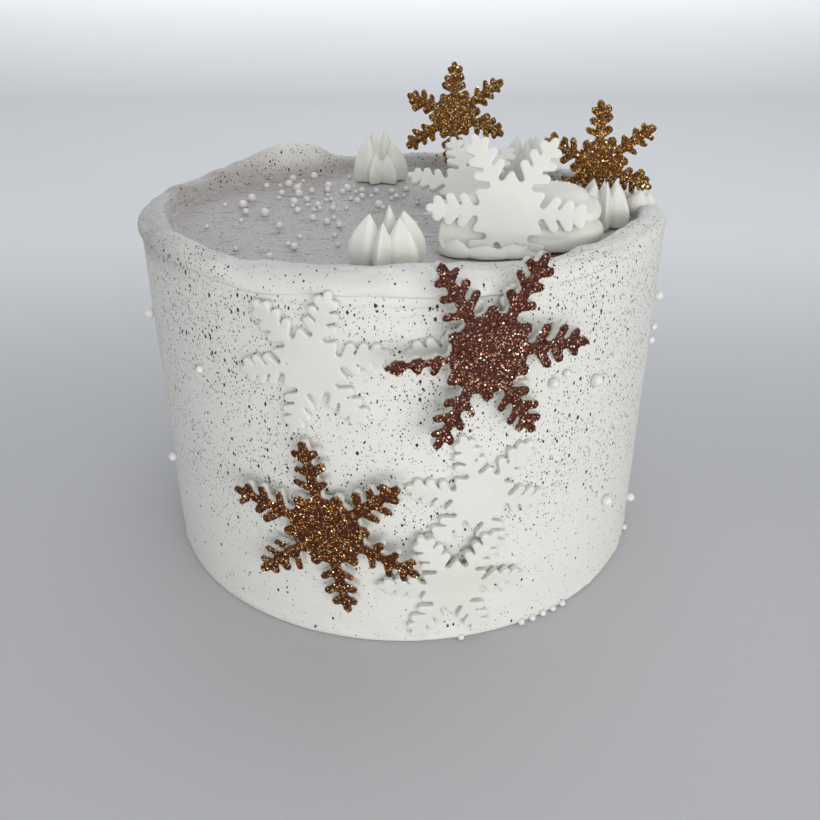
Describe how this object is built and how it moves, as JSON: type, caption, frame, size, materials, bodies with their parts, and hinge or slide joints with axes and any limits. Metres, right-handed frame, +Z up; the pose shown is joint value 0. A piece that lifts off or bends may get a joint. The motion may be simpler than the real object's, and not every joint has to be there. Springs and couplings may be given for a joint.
{
  "type": "birthday cake",
  "caption": "Tall round frosted cake with a raised rim, speckled wall, piped stars and dollops, white and copper glitter snowflakes and sugar pearls.",
  "frame": {"origin": "middle of the cake's flat foot, on the surface that it stands on", "axes": "+Z up along the cake's axis, -Y towards the front, where the copper snowflakes are, +X to the right seen from the front"},
  "size_m": [0.1546, 0.166, 0.1372],
  "materials": {
    "buttercream": "matte off-white buttercream, spattered with fine dark specks",
    "piped_cream": "smooth satin piped cream",
    "fondant": "satin white fondant with soft rounded edges",
    "copper_glitter": "coarse reddish copper glitter",
    "gold_glitter": "coarse golden copper glitter"
  },
  "bodies": {
    "root": {"cake_body": "buttercream", "fondant_flake_upper": "fondant", "fondant_flake_behind": "fondant", "fondant_flake_middle": "fondant", "fondant_flake_foot": "fondant", "fondant_flake_front": "fondant", "fondant_flake_rear": "fondant", "glitter_flake_upper": "copper_glitter", "glitter_flake_lower": "copper_glitter", "glitter_flake_back": "gold_glitter", "glitter_flake_right": "gold_glitter", "piped_star_front": "piped_cream", "piped_star_back": "piped_cream", "piped_star_right": "piped_cream", "piped_star_rear": "piped_cream", "piped_dollop_left": "piped_cream", "piped_dollop_right": "piped_cream", "piped_dollop_rear": "piped_cream"}
  },
  "joints": []
}
